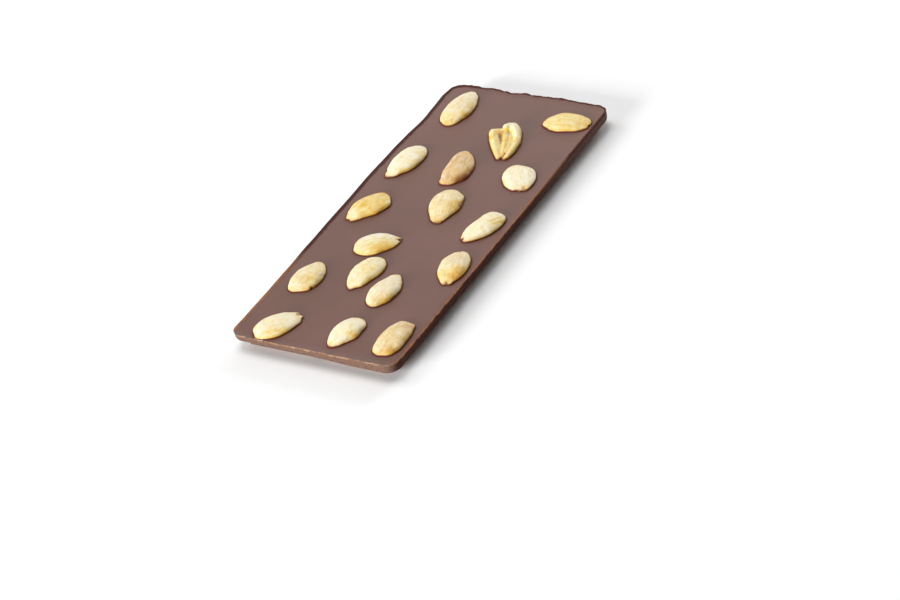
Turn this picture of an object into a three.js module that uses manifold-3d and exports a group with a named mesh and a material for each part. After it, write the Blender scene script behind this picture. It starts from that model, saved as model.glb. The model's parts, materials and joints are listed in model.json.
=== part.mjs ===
// A tablet of dark chocolate with whole roasted almonds set into its flat back.
// Millimetres, +Z up, +Y along the tablet. The tablet lies as it leaves the mould turned over:
// the moulded blocks face down and carry it at z = 0, and the almonds stand out of the top.
// The origin is under the middle of the tablet, on the plane that it rests on.

import * as THREE from 'three';
import { mergeVertices } from 'three/addons/utils/BufferGeometryUtils.js';
import Module from 'manifold-3d';

const wasm = await Module();
wasm.setup();

// Driving dimensions of the chocolate
const LENGTH = 165;
const WIDTH = 74;
const CORNER_RADIUS = 5;
const PLATE_THICKNESS = 4;
const BLOCK_HEIGHT = 2.7;
const COLUMNS = 2;
const ROWS = 7;
const SIDE_MARGIN = 4.5;
const END_MARGIN = 3.7;
const CENTRE_GROOVE = 4.2;
const CROSS_GROOVE = 3.7;

// The mould's draft, and the small roundings of its edges
const PLATE_DRAFT = 0.25;
const PLATE_ROUNDING = 0.8;
const BLOCK_DRAFT = 0.35;
const BLOCK_CORNER = 1.2;
const BLOCK_ROUNDING = 0.3;
const FOOT_FILLET = 0.6;
const CORNER_STEPS = 6;
const BLOCK_CORNER_STEPS = 2;
const FUSE_DEPTH = 0.5;

// How the almonds sit
const SUNK_DEPTH = 2.7;
const POCKET_GAP = 0.35;
const POCKET_END_GAP = 0.55;
const ALMOND_SIDES = 16;
const ALMOND_RINGS = 10;
const BLUNT_END_POWER = 0.5;

const PLATE_BOTTOM = BLOCK_HEIGHT;
const BACK = BLOCK_HEIGHT + PLATE_THICKNESS;

// Each almond's middle, the way its tip points in degrees from +X, its length and width on the
// chocolate, its height above it, and how sharply its tip is drawn out (0.5 is as round as the blunt end).
const ALMONDS = [
  { name: 'almond_01', x: -23.7, y: 66.8, turn: 94, length: 23.8, width: 12.6, rise: 3.4, tip: 0.62 },
  { name: 'almond_02', x: 25.8, y: 67.8, turn: 3, length: 19.8, width: 12.6, rise: 2.8, tip: 0.65 },
  { name: 'almond_04', x: -26.6, y: 29.2, turn: -97, length: 22.2, width: 12.4, rise: 3.4, tip: 0.68 },
  { name: 'almond_05', x: -3.0, y: 30.8, turn: 104, length: 21.6, width: 12.8, rise: 3.4, tip: 0.6 },
  { name: 'almond_06', x: 24.7, y: 31.0, turn: -50, length: 18.8, width: 13.4, rise: 2.8, tip: 0.55 },
  { name: 'almond_07', x: -25.8, y: -0.6, turn: -110, length: 20.2, width: 13.6, rise: 3.0, tip: 0.65 },
  { name: 'almond_08', x: 5.0, y: 7.5, turn: -71, length: 21.0, width: 13.4, rise: 3.4, tip: 0.68 },
  { name: 'almond_09', x: 26.8, y: -0.4, turn: -108, length: 20.6, width: 12.2, rise: 3.4, tip: 0.68 },
  { name: 'almond_10', x: -9.0, y: -20.2, turn: 27, length: 18.8, width: 13.0, rise: 3.2, tip: 0.68 },
  { name: 'almond_11', x: 28.6, y: -25.2, turn: -76, length: 19.4, width: 12.0, rise: 3.4, tip: 0.68 },
  { name: 'almond_12', x: -3.6, y: -37.2, turn: -95, length: 20.2, width: 12.4, rise: 3.4, tip: 0.68 },
  { name: 'almond_13', x: -24.8, y: -45.0, turn: 93, length: 19.2, width: 12.8, rise: 3.4, tip: 0.58 },
  { name: 'almond_14', x: 9.8, y: -44.2, turn: 94, length: 19.8, width: 12.2, rise: 3.4, tip: 0.66 },
  { name: 'almond_15', x: -20.4, y: -72.6, turn: 60, length: 19.0, width: 13.0, rise: 3.0, tip: 0.58 },
  { name: 'almond_16', x: 8.6, y: -70.2, turn: -102, length: 17.9, width: 12.4, rise: 3.2, tip: 0.68 },
  { name: 'almond_17', x: 28.7, y: -68.3, turn: 92, length: 20.6, width: 12.4, rise: 3.4, tip: 0.52 },
];

// One almond has sprung open: its two halves lie side by side, joined at the tip.
const SPLIT_ALMOND = {
  name: 'almond_03',
  halves: [
    { x: 7.6, y: 51.5, turn: -71, length: 25.0, width: 8.6, rise: 3.2, tip: 0.5 },
    { x: 4.2, y: 49.0, turn: -53, length: 23.0, width: 7.4, rise: 2.8, tip: 0.5 },
  ],
};

const CHOCOLATE = new THREE.MeshStandardMaterial({ color: 0x5f443a, roughness: 0.45, metalness: 0 });
const PALE_ALMOND = new THREE.MeshStandardMaterial({ color: 0xeed9a6, roughness: 0.6, metalness: 0 });
const BROWN_ALMOND = new THREE.MeshStandardMaterial({ color: 0xcfa678, roughness: 0.6, metalness: 0 });
const BROWN_ALMOND_NAME = 'almond_05';

// A ring of points round a rectangle with rounded corners, anticlockwise seen from above.
function roundedRing(halfX, halfY, radius, z, steps) {
  const corners = [[1, 1, 0], [-1, 1, 90], [-1, -1, 180], [1, -1, 270]];
  return corners.flatMap(([sideX, sideY, startDegrees]) =>
    Array.from({ length: steps + 1 }, (_, step) => {
      const angle = THREE.MathUtils.degToRad(startDegrees + (90 * step) / steps);
      const x = sideX * (halfX - radius) + radius * Math.cos(angle);
      const y = sideY * (halfY - radius) + radius * Math.sin(angle);
      return new THREE.Vector3(x, y, z);
    }),
  );
}

// A closed body whose walls run through rings of equal length, given from the lowest to the highest.
function loft(rings) {
  const count = rings[0].length;
  const points = rings.flat();
  const bottomCentre = points.push(new THREE.Vector3(0, 0, rings[0][0].z)) - 1;
  const topCentre = points.push(new THREE.Vector3(0, 0, rings[rings.length - 1][0].z)) - 1;
  const lastRing = (rings.length - 1) * count;
  const triangles = [];
  for (let i = 0; i < count; i++) {
    const next = (i + 1) % count;
    triangles.push(bottomCentre, next, i);
    triangles.push(topCentre, lastRing + i, lastRing + next);
    for (let level = 0; level < lastRing; level += count) {
      triangles.push(level + i, level + next, level + count + next);
      triangles.push(level + i, level + count + next, level + count + i);
    }
  }
  const geometry = new THREE.BufferGeometry().setFromPoints(points);
  geometry.setIndex(triangles);
  return geometry;
}

// The plate: its walls lean out to the back by the mould's draft, and its moulded edge is rounded.
function plateGeometry() {
  const levels = [
    { z: PLATE_BOTTOM, inset: PLATE_DRAFT + PLATE_ROUNDING },
    { z: PLATE_BOTTOM + PLATE_ROUNDING * 0.3, inset: PLATE_DRAFT + PLATE_ROUNDING * 0.3 },
    { z: PLATE_BOTTOM + PLATE_ROUNDING, inset: PLATE_DRAFT },
    { z: BACK, inset: 0 },
  ];
  return loft(levels.map(({ z, inset }) =>
    roundedRing(WIDTH / 2 - inset, LENGTH / 2 - inset, CORNER_RADIUS - inset, z, CORNER_STEPS)));
}

const BLOCK_WIDTH = (WIDTH - 2 * PLATE_DRAFT - 2 * SIDE_MARGIN - (COLUMNS - 1) * CENTRE_GROOVE) / COLUMNS;
const BLOCK_LENGTH = (LENGTH - 2 * PLATE_DRAFT - 2 * END_MARGIN - (ROWS - 1) * CROSS_GROOVE) / ROWS;

// One block, from the face that it rests on up to its foot, which reaches into the plate to fuse with it.
function blockGeometry() {
  const levels = [
    { z: 0, grow: -BLOCK_ROUNDING },
    { z: BLOCK_ROUNDING, grow: 0 },
    { z: BLOCK_HEIGHT - FOOT_FILLET, grow: BLOCK_DRAFT },
    { z: BLOCK_HEIGHT, grow: BLOCK_DRAFT + FOOT_FILLET },
    { z: BLOCK_HEIGHT + FUSE_DEPTH, grow: BLOCK_DRAFT + FOOT_FILLET },
  ];
  const [halfX, halfY] = [BLOCK_WIDTH / 2, BLOCK_LENGTH / 2];
  return loft(levels.map(({ z, grow }) =>
    roundedRing(halfX + grow, halfY + grow, BLOCK_CORNER + grow, z, BLOCK_CORNER_STEPS)));
}

// Half the almond's width at a place along it, from -1 at the blunt end to 1 at the tip, as a share of
// the widest.
function plumpness(place, tip) {
  const shape = (s) => (1 + s) ** BLUNT_END_POWER * (1 - s) ** tip;
  const widest = (BLUNT_END_POWER - tip) / (BLUNT_END_POWER + tip);
  return shape(place) / shape(widest);
}

// A sphere drawn out into an almond: its poles become the two ends, along +X. Its widest line lies in the
// chocolate's back. An almond grown by the gaps is the pocket that it sits in.
function almondGeometry({ x, y, turn, length, width, rise, tip }, gap = 0, endGap = 0) {
  const geometry = new THREE.SphereGeometry(1, ALMOND_SIDES, ALMOND_RINGS);
  const position = geometry.attributes.position;
  const point = new THREE.Vector3();
  for (let i = 0; i < position.count; i++) {
    point.fromBufferAttribute(position, i);
    const place = THREE.MathUtils.clamp(point.y, -1, 1);
    const round = Math.sqrt(1 - place ** 2) || 1;
    const plump = Math.abs(place) === 1 ? 0 : plumpness(place, tip);
    const across = point.x / round;
    const upward = point.z / round;
    const depth = (upward > 0 ? rise : SUNK_DEPTH) + gap;
    const side = -plump * across * (width / 2 + gap);
    position.setXYZ(i, place * (length / 2 + endGap), side, plump * upward * depth);
  }
  geometry.rotateZ(THREE.MathUtils.degToRad(turn));
  geometry.translate(x, y, BACK);
  return geometry;
}

// Joining and cutting
function toSolid(geometry) {
  const bare = geometry.clone();
  bare.deleteAttribute('normal');
  bare.deleteAttribute('uv');
  const merged = mergeVertices(bare, 1e-5);
  const index = merged.index.array;
  const kept = [];
  for (let i = 0; i < index.length; i += 3) {
    const [a, b, c] = index.slice(i, i + 3);
    if (a !== b && b !== c && c !== a) kept.push(a, b, c);
  }
  return new wasm.Manifold(new wasm.Mesh({
    numProp: 3,
    vertProperties: new Float32Array(merged.attributes.position.array),
    triVerts: new Uint32Array(kept),
  }));
}

function toGeometry(solid) {
  const { vertProperties, triVerts } = solid.getMesh();
  const geometry = new THREE.BufferGeometry();
  geometry.setAttribute('position', new THREE.BufferAttribute(vertProperties, 3));
  geometry.setIndex(new THREE.BufferAttribute(triVerts, 1));
  geometry.computeVertexNormals();
  return geometry;
}

// The almonds' own solids, and the pockets that they leave in the chocolate
function splitAlmondSolid(gap = 0, endGap = 0) {
  const [large, small] = SPLIT_ALMOND.halves.map((half) => toSolid(almondGeometry(half, gap, endGap)));
  return large.add(small);
}

function pocketSolids() {
  const single = ALMONDS.map((almond) => toSolid(almondGeometry(almond, POCKET_GAP, POCKET_END_GAP)));
  return [...single, splitAlmondSolid(POCKET_GAP, POCKET_END_GAP)];
}

// The chocolate: the plate, its blocks in rows and columns, less the almonds' pockets
function chocolateSolid() {
  let solid = toSolid(plateGeometry());
  const block = toSolid(blockGeometry());
  for (let column = 0; column < COLUMNS; column++) {
    for (let row = 0; row < ROWS; row++) {
      const x = (column - (COLUMNS - 1) / 2) * (BLOCK_WIDTH + CENTRE_GROOVE);
      const y = (row - (ROWS - 1) / 2) * (BLOCK_LENGTH + CROSS_GROOVE);
      solid = solid.add(block.translate([x, y, 0]));
    }
  }
  return pocketSolids().reduce((rest, pocket) => rest.subtract(pocket), solid);
}

function namedMesh(name, geometry, material) {
  const mesh = new THREE.Mesh(geometry, material);
  mesh.name = name;
  return mesh;
}

const tablet = new THREE.Group();
tablet.add(namedMesh('chocolate', toGeometry(chocolateSolid()), CHOCOLATE));
for (const almond of ALMONDS) {
  const material = almond.name === BROWN_ALMOND_NAME ? BROWN_ALMOND : PALE_ALMOND;
  tablet.add(namedMesh(almond.name, toGeometry(toSolid(almondGeometry(almond))), material));
}
tablet.add(namedMesh(SPLIT_ALMOND.name, toGeometry(splitAlmondSolid()), PALE_ALMOND));

export default tablet;
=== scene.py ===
# %% [markdown]
# # A tablet of dark chocolate with whole almonds
#
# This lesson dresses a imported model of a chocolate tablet, which lies on its moulded blocks with its
# almonds up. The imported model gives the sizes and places. The notebook replaces each of its plain
# solids with a finely shaped piece, and gives every piece a material built from nodes.

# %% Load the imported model
import json
import math

import bmesh
import bpy
import numpy as np
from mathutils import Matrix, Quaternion, Vector
from mathutils.bvhtree import BVHTree

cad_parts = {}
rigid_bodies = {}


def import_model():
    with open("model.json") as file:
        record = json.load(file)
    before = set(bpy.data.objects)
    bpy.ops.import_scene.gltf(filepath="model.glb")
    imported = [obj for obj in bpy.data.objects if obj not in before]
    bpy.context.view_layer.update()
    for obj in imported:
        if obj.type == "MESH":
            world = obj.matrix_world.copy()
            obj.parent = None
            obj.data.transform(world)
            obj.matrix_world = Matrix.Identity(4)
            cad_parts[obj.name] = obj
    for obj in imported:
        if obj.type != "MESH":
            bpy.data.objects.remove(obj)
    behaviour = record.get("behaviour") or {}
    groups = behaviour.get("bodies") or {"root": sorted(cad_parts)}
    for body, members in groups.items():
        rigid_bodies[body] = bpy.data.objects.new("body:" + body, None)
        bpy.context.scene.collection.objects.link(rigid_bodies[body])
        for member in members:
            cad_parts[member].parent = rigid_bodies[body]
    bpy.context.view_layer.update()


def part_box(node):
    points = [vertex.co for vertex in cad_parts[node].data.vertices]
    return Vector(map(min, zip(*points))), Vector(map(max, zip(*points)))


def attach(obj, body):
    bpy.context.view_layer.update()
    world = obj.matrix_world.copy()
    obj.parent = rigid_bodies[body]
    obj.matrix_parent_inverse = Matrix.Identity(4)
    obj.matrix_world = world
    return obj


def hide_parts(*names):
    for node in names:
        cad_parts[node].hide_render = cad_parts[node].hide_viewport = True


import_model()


# %% [markdown]
# ## Measures
#
# Blender works in metres, and a tablet is thought of in millimetres, so one short function turns one
# into the other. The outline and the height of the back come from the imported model. The rest is what a
# confectioner's mould fixes: the blocks, the grooves between them, and the draft that lets it all out.

# %% Sizes of the tablet
def mm(value):
    """Millimetres as Blender's metres."""
    return value / 1000


tablet_low, tablet_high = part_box("chocolate")
WIDTH = tablet_high.x - tablet_low.x
LENGTH = tablet_high.y - tablet_low.y
BACK = tablet_high.z
PLATE_BOTTOM = mm(2.7)
PLATE_DRAFT = mm(0.25)
PLATE_ROUNDING = mm(0.8)
CORNER_RADIUS = mm(5)
COLUMNS = 2
ROWS = 7
CENTRE_GROOVE = mm(4.2)
CROSS_GROOVE = mm(3.7)
SIDE_MARGIN = mm(4.5)
END_MARGIN = mm(3.7)
BLOCK_WIDTH = (WIDTH - 2 * PLATE_DRAFT - 2 * SIDE_MARGIN - (COLUMNS - 1) * CENTRE_GROOVE) / COLUMNS
BLOCK_LENGTH = (LENGTH - 2 * PLATE_DRAFT - 2 * END_MARGIN - (ROWS - 1) * CROSS_GROOVE) / ROWS
print(f"the tablet is {WIDTH * 1000:.1f} by {LENGTH * 1000:.1f} mm")
print(f"a block is {BLOCK_WIDTH * 1000:.1f} by {BLOCK_LENGTH * 1000:.1f} mm")


# %% [markdown]
# ## Helpers for modelling by hand in code
#
# An operator acts on whatever is selected, as it does under the mouse. So each step starts by picking
# vertices, edges or faces by where they are. One function does that for all three kinds.

# %% Selecting and picking
HAIR = mm(0.01)
FLAT = 0.99
STEEP = 0.5


def deselect_all():
    for thing in bpy.data.objects:
        thing.select_set(False)


def select_only(piece):
    """Selects one piece and makes it the one that operators act on."""
    deselect_all()
    piece.select_set(True)
    bpy.context.view_layer.objects.active = piece


def edit(piece):
    """Opens one piece in edit mode, with nothing else selected."""
    select_only(piece)
    bpy.ops.object.mode_set(mode="EDIT")


def close_edit():
    bpy.ops.object.mode_set(mode="OBJECT")


def pick(kind, wanted):
    """Selects the vertices, edges or faces of the piece in edit mode for which wanted(item) is true."""
    bpy.ops.mesh.select_mode(type=kind)
    bpy.ops.mesh.select_all(action="DESELECT")
    mesh = bmesh.from_edit_mesh(bpy.context.object.data)
    items = {"VERT": mesh.verts, "EDGE": mesh.edges, "FACE": mesh.faces}[kind]
    picked = [item for item in items if wanted(item)]
    for item in picked:
        item.select_set(True)
    mesh.select_flush_mode()
    return len(picked)


def middle(edge):
    return (edge.verts[0].co + edge.verts[1].co) / 2


def near(a, b, tolerance=HAIR):
    return abs(a - b) < tolerance


deselect_all()


# %% [markdown]
# ## The camera
#
# The camera looks down on the tablet from its front right corner. A long lens keeps the far end almost
# as wide as the near end, and a roll of the camera makes the tablet climb across the picture.

# %% Camera
CAMERA_PLACE = Vector((mm(634.6), mm(-739.0), mm(670.8)))
CAMERA_AIM = Vector((mm(37.1), mm(-42.1), BACK))
CAMERA_ROLL = math.radians(15.85)
LENS = 124
SENSOR_WIDTH = 36

camera_data = bpy.data.cameras.new("camera")
camera_data.lens = LENS
camera_data.sensor_width = SENSOR_WIDTH
camera = bpy.data.objects.new("camera", camera_data)
bpy.context.scene.collection.objects.link(camera)
looking = (CAMERA_AIM - CAMERA_PLACE).to_track_quat("-Z", "Y")
camera.rotation_mode = "QUATERNION"
camera.rotation_quaternion = looking @ Quaternion((0, 0, 1), -CAMERA_ROLL)
camera.location = CAMERA_PLACE
bpy.context.scene.camera = camera
print(f"the camera stands {(CAMERA_AIM - CAMERA_PLACE).length:.3f} m from what it looks at")


# %% [markdown]
# ## The chocolate: from an outline to a plate
#
# The tablet was poured: a flat back with crisp corners, and walls that follow the mould. A plane of the
# outline's size gets its four corners rounded, and its sides are divided finely. The ring that this
# gives is then extruded downwards in steps, a little smaller each time for the draft and then along a
# quarter circle for the rounded moulded edge.

# %% Outline of the back
LONG_CUTS = 99
SHORT_CUTS = 41
CORNER_STEPS = 8
half_width = WIDTH / 2
half_length = LENGTH / 2
long_straight = half_length - CORNER_RADIUS
short_straight = half_width - CORNER_RADIUS


def on_a_side(edge, axis, place, reach):
    """Whether an edge of the outline is in the straight part of one side."""
    spot = middle(edge)
    return near(spot[axis], place) and abs(spot[1 - axis]) < reach


bpy.ops.mesh.primitive_plane_add(size=1)
tablet = bpy.context.object
tablet.name = "chocolate_tablet"
edit(tablet)
bpy.ops.mesh.select_all(action="SELECT")
bpy.ops.transform.resize(value=(WIDTH, LENGTH, 1))
bpy.ops.transform.translate(value=(0, 0, BACK))
bpy.ops.mesh.bevel(offset=CORNER_RADIUS, offset_type="OFFSET", segments=CORNER_STEPS, profile=0.5,
                   affect="VERTICES")
sides = ((0, half_width, long_straight, LONG_CUTS), (1, half_length, short_straight, SHORT_CUTS))
for sign in (1, -1):
    for axis, half, straight, cuts in sides:
        for number in (cuts, 1):
            pick("EDGE", lambda e: on_a_side(e, axis, sign * half, straight))
            bpy.ops.mesh.subdivide(number_cuts=number)
close_edit()
print("the outline has", len(tablet.data.vertices), "points")

# %% Walls of the plate
# Each ring below the back has a depth and how much the rounded edge takes it in
LIP_STEPS = (0.25, 0.6, 1.1)
WALL_STEPS = 3
ROUNDING_STEPS = 4
straight_wall = BACK - PLATE_BOTTOM - PLATE_ROUNDING
wall_rings = [(mm(depth), 0) for depth in LIP_STEPS]
lip_end = mm(LIP_STEPS[-1])
for step in range(1, WALL_STEPS + 1):
    wall_rings.append((lip_end + (straight_wall - lip_end) * step / WALL_STEPS, 0))
for step in range(1, ROUNDING_STEPS + 1):
    angle = math.radians(90) * step / ROUNDING_STEPS
    drop = PLATE_ROUNDING * math.sin(angle)
    wall_rings.append((straight_wall + drop, PLATE_ROUNDING * (1 - math.cos(angle))))

edit(tablet)
bpy.ops.mesh.select_mode(type="FACE")
bpy.ops.mesh.select_all(action="SELECT")
depth_now = 0
inset_now = 0
for depth, rounding in wall_rings:
    inset = rounding + PLATE_DRAFT * min(depth / straight_wall, 1)
    bpy.ops.mesh.extrude_region_move(TRANSFORM_OT_translate={"value": (0, 0, depth_now - depth)})
    shrink_x = (half_width - inset) / (half_width - inset_now)
    shrink_y = (half_length - inset) / (half_length - inset_now)
    bpy.ops.transform.resize(value=(shrink_x, shrink_y, 1), center_override=(0, 0, 0))
    depth_now = depth
    inset_now = inset
bpy.ops.mesh.select_all(action="SELECT")
bpy.ops.mesh.normals_make_consistent(inside=False)
close_edit()
print("the plate has", len(tablet.data.polygons), "faces")


# %% [markdown]
# ## The moulded blocks
#
# Seven rows of two blocks stand out of the underside. Bisecting that one large face along the sides of
# the blocks leaves a rectangle for each, and an inset with depth raises them all at once: the depth is
# the block's height and the inset is its draft. Bevels then round the upright corners, fill the foot
# with a hollow fillet, and take the sharpness off the edge of the face.

# %% Block rectangles on the underside
def block_middles():
    for column in range(COLUMNS):
        for row in range(ROWS):
            x = (column - (COLUMNS - 1) / 2) * (BLOCK_WIDTH + CENTRE_GROOVE)
            y = (row - (ROWS - 1) / 2) * (BLOCK_LENGTH + CROSS_GROOVE)
            yield x, y


def on_underside(face):
    return face.normal.z < -FLAT and near(face.calc_center_median().z, PLATE_BOTTOM)


BLOCK_DRAFT = mm(0.35)
FOOT_WIDTH = BLOCK_WIDTH / 2 + BLOCK_DRAFT
FOOT_LENGTH = BLOCK_LENGTH / 2 + BLOCK_DRAFT
cuts_x = sorted({x + side * FOOT_WIDTH for x, y in block_middles() for side in (1, -1)})
cuts_y = sorted({y + side * FOOT_LENGTH for x, y in block_middles() for side in (1, -1)})

edit(tablet)
for x in cuts_x:
    pick("FACE", on_underside)
    bpy.ops.mesh.bisect(plane_co=(x, 0, 0), plane_no=(1, 0, 0))
for y in cuts_y:
    pick("FACE", on_underside)
    bpy.ops.mesh.bisect(plane_co=(0, y, 0), plane_no=(0, 1, 0))


def in_a_block(face):
    if not on_underside(face):
        return False
    spot = face.calc_center_median()
    return any(abs(spot.x - x) < FOOT_WIDTH and abs(spot.y - y) < FOOT_LENGTH for x, y in block_middles())


blocks = pick("FACE", in_a_block)
bpy.ops.mesh.inset(use_individual=True, thickness=BLOCK_DRAFT, depth=PLATE_BOTTOM)
print("blocks raised:", blocks)

# %% Rounded corners, foot fillets and face edges of the blocks
BLOCK_CORNER = mm(1.3)
FOOT_FILLET = mm(0.7)
FACE_EDGE = mm(0.3)
RIM_ZONE = mm(2.5)


def upright(edge):
    low, high = sorted(vertex.co.z for vertex in edge.verts)
    return near(low, 0) and near(high, PLATE_BOTTOM)


def at_height(edge, height):
    return all(near(vertex.co.z, height) for vertex in edge.verts)


def between_wall_and_flat(edge):
    leans = sorted(abs(face.normal.z) for face in edge.link_faces)
    return len(leans) == 2 and leans[0] < STEEP and leans[1] > FLAT


def inside_plate_edge(edge):
    spot = middle(edge)
    return abs(spot.x) < half_width - RIM_ZONE and abs(spot.y) < half_length - RIM_ZONE


pick("EDGE", upright)
bpy.ops.mesh.bevel(offset=BLOCK_CORNER, segments=4, affect="EDGES")
pick("EDGE", lambda e: at_height(e, PLATE_BOTTOM) and between_wall_and_flat(e) and inside_plate_edge(e))
bpy.ops.mesh.bevel(offset=FOOT_FILLET, segments=4, affect="EDGES")
pick("EDGE", lambda e: at_height(e, 0) and between_wall_and_flat(e))
bpy.ops.mesh.bevel(offset=FACE_EDGE, segments=3, affect="EDGES")
close_edit()
print("with its blocks the tablet has", len(tablet.data.polygons), "faces")


# %% [markdown]
# ## The poured back
#
# The back is the only side that no mould touched, so it needs a fine skin that can be made uneven. Its
# one large face is deleted and the ring that is left is filled with a grid. Grid fill needs to know where
# the grid's corners are, so the middle of one rounded corner is made the active vertex.

# %% Fill the back with a grid
grid_span = 2 * (LONG_CUTS + 1) + CORNER_STEPS
corner_middle = Vector((short_straight, long_straight, BACK))
corner_middle += Vector((CORNER_RADIUS, CORNER_RADIUS, 0)) * math.cos(math.radians(45))

edit(tablet)
pick("FACE", lambda f: f.normal.z > FLAT and near(f.calc_center_median().z, BACK))
bpy.ops.mesh.delete(type="ONLY_FACE")
pick("EDGE", lambda e: e.is_boundary)
bpy.ops.mesh.select_mode(type="VERT")
tablet_mesh = bmesh.from_edit_mesh(tablet.data)
start = min(tablet_mesh.verts, key=lambda v: (v.co - corner_middle).length)
tablet_mesh.select_history.clear()
tablet_mesh.select_history.add(start)
bpy.ops.mesh.fill_grid(span=grid_span)
bpy.ops.mesh.select_all(action="SELECT")
bpy.ops.mesh.normals_make_consistent(inside=False)
close_edit()
print("with its back filled the tablet has", len(tablet.data.polygons), "faces")


# %% Remember how far each point is from the rim
def distance_to_outline(spot):
    """How far a point is inside the tablet's rounded outline, seen from above."""
    over_x = abs(spot.x) - short_straight
    over_y = abs(spot.y) - long_straight
    if over_x > 0 and over_y > 0:
        return CORNER_RADIUS - math.hypot(over_x, over_y)
    return min(half_width - abs(spot.x), half_length - abs(spot.y))


inside_rim = [max(distance_to_outline(vertex.co), 0) for vertex in tablet.data.vertices]
below_back = [BACK - vertex.co.z for vertex in tablet.data.vertices]
print("points on the back:", sum(depth < HAIR for depth in below_back))


# %% [markdown]
# ## Unevenness of the rim
#
# The rim of the back wanders a little, where the chocolate ran over the mould's edge or stopped short of
# it. Proportional editing does this as a thumb would: a few points are pushed and their neighbours
# follow, less and less with distance. Each push has a place on the rim, a direction and a reach.

# %% Push the rim in and out
SAME_PLACE = mm(0.05)


def press(piece, place, move, reach):
    """Moves the points nearest to a place on the piece, in mm, and what is within reach follows."""
    target = Vector([mm(part) for part in place])
    mesh = bmesh.from_edit_mesh(piece.data)
    closest = min((v.co - target).length for v in mesh.verts)
    pick("VERT", lambda v: (v.co - target).length < closest + SAME_PLACE)
    bpy.ops.transform.translate(value=[mm(part) for part in move], use_proportional_edit=True,
                                proportional_edit_falloff="SMOOTH", proportional_size=mm(reach))


# In mm: the sides' places, and for each push its place along the side, how far in, and its reach
LEFT_SIDE = -37
FAR_END = 82.5
LEFT_PUSHES = [(-72, 0.75, 16), (-56, 0.75, 16), (-40, 0.6, 14), (-24, 0.25, 12), (18, -0.35, 16),
               (47, 0.5, 12), (58, 1.5, 13), (70, 0.9, 10), (79, 1.2, 6)]
FAR_PUSHES = [(-34, 0.9, 5), (-8, 0.9, 7), (-17, -0.15, 4), (3, 0.4, 5), (15, -0.25, 4), (21, 0.35, 5),
              (28, 0.7, 6), (32.5, 0.5, 3), (35.5, 0.4, 3)]
back_mm = BACK * 1000

edit(tablet)
for y, inwards, reach in LEFT_PUSHES:
    press(tablet, (LEFT_SIDE, y, back_mm), (inwards, 0, 0), reach)
for x, inwards, reach in FAR_PUSHES:
    press(tablet, (x, FAR_END, back_mm), (0, -inwards, 0), reach)
close_edit()
print("pushed the rim at", len(LEFT_PUSHES) + len(FAR_PUSHES), "places")


# %% [markdown]
# ## The almonds: one base, sixteen copies
#
# A blanched almond is a flattened drop, rounded at one end and drawn to a point at the other. A sphere
# is modelled once with its poles at the two ends, and its lengthwise lines are lifted so that it gets
# steep sides and a flat top. Each almond is a copy with its own mesh, and its rings are then resized one
# after the other to follow the outline of a drop.

# %% Base almond
GIRTH_STEPS = 32
RING_COUNT = 24
FLAT_TOP = 1.4
RING_TOLERANCE = 0.001


def on_lengthwise_line(spot, height):
    """Whether a point of the sphere is on the line that runs at a height from 0, its side, to 1, its top."""
    return near(spot.z, height * math.hypot(spot.y, spot.z), RING_TOLERANCE)


bpy.ops.mesh.primitive_uv_sphere_add(segments=GIRTH_STEPS, ring_count=RING_COUNT, radius=1,
                                     rotation=(0, math.radians(90), 0))
base_almond = bpy.context.object
base_almond.name = "base_almond"
bpy.ops.object.transform_apply(location=True, rotation=True, scale=True)
edit(base_almond)
for step in range(1, GIRTH_STEPS // 4):
    height = math.sin(2 * math.pi * step / GIRTH_STEPS)
    lift = (1 - (1 - height) ** FLAT_TOP) / height
    pick("VERT", lambda v: v.co.z > RING_TOLERANCE and on_lengthwise_line(v.co, height))
    bpy.ops.transform.resize(value=(1, 1, lift), center_override=(0, 0, 0))
close_edit()
print("the base almond has", len(base_almond.data.polygons), "faces")

# %% A copy of the base, and how wide a drop is along its length
BLUNT_POWER = 0.5


def plumpness(place, tip):
    """Half the width at a place from -1, the blunt end, to 1, the tip, as a share of the widest."""
    widest = (BLUNT_POWER - tip) / (BLUNT_POWER + tip)
    share = (1 + place) ** BLUNT_POWER * (1 - place) ** tip
    return share / ((1 + widest) ** BLUNT_POWER * (1 - widest) ** tip)


def copy_almond(name):
    select_only(base_almond)
    bpy.ops.object.duplicate(linked=False)
    piece = bpy.context.object
    piece.name = name
    piece.data.name = name
    return piece


# %% Shape, place and divide one almond
SUNK_DEPTH = mm(2.4)


def shape_almond(piece, length, width, rise, tip):
    """Turns the base into an almond along +X, with its widest line at z = 0."""
    edit(piece)
    for ring in range(1, RING_COUNT):
        place = math.cos(math.pi * ring / RING_COUNT)
        thickness = plumpness(place, tip) / math.sqrt(1 - place * place)
        pick("VERT", lambda v: near(v.co.x, place, RING_TOLERANCE))
        bpy.ops.transform.resize(value=(1, thickness, thickness), center_override=(place, 0, 0))
    bpy.ops.mesh.select_all(action="SELECT")
    bpy.ops.transform.resize(value=(length / 2, width / 2, rise), center_override=(0, 0, 0))
    pick("VERT", lambda v: v.co.z < 0)
    bpy.ops.transform.resize(value=(1, 1, SUNK_DEPTH / rise), center_override=(0, 0, 0))
    close_edit()


def turn_and_place(piece, x, y, z, turn):
    piece.rotation_euler = (0, 0, math.radians(turn))
    piece.location = (x, y, z)
    select_only(piece)
    bpy.ops.object.transform_apply(location=True, rotation=True, scale=True)


def divide_finely(piece, levels):
    select_only(piece)
    smooth = piece.modifiers.new("subdivide", "SUBSURF")
    smooth.levels = levels
    smooth.render_levels = levels
    bpy.ops.object.modifier_apply(modifier=smooth.name)


# %% [markdown]
# ### Uneven skins
#
# No almond is a perfect drop. Displacement with a cloudy texture as coarse as a third of the almond makes
# soft lumps, a finer one makes dents, and the finest makes the dry, slightly wrinkled skin. The textures
# read the place of the almond on the tablet, so no two almonds get the same lumps.

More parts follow.
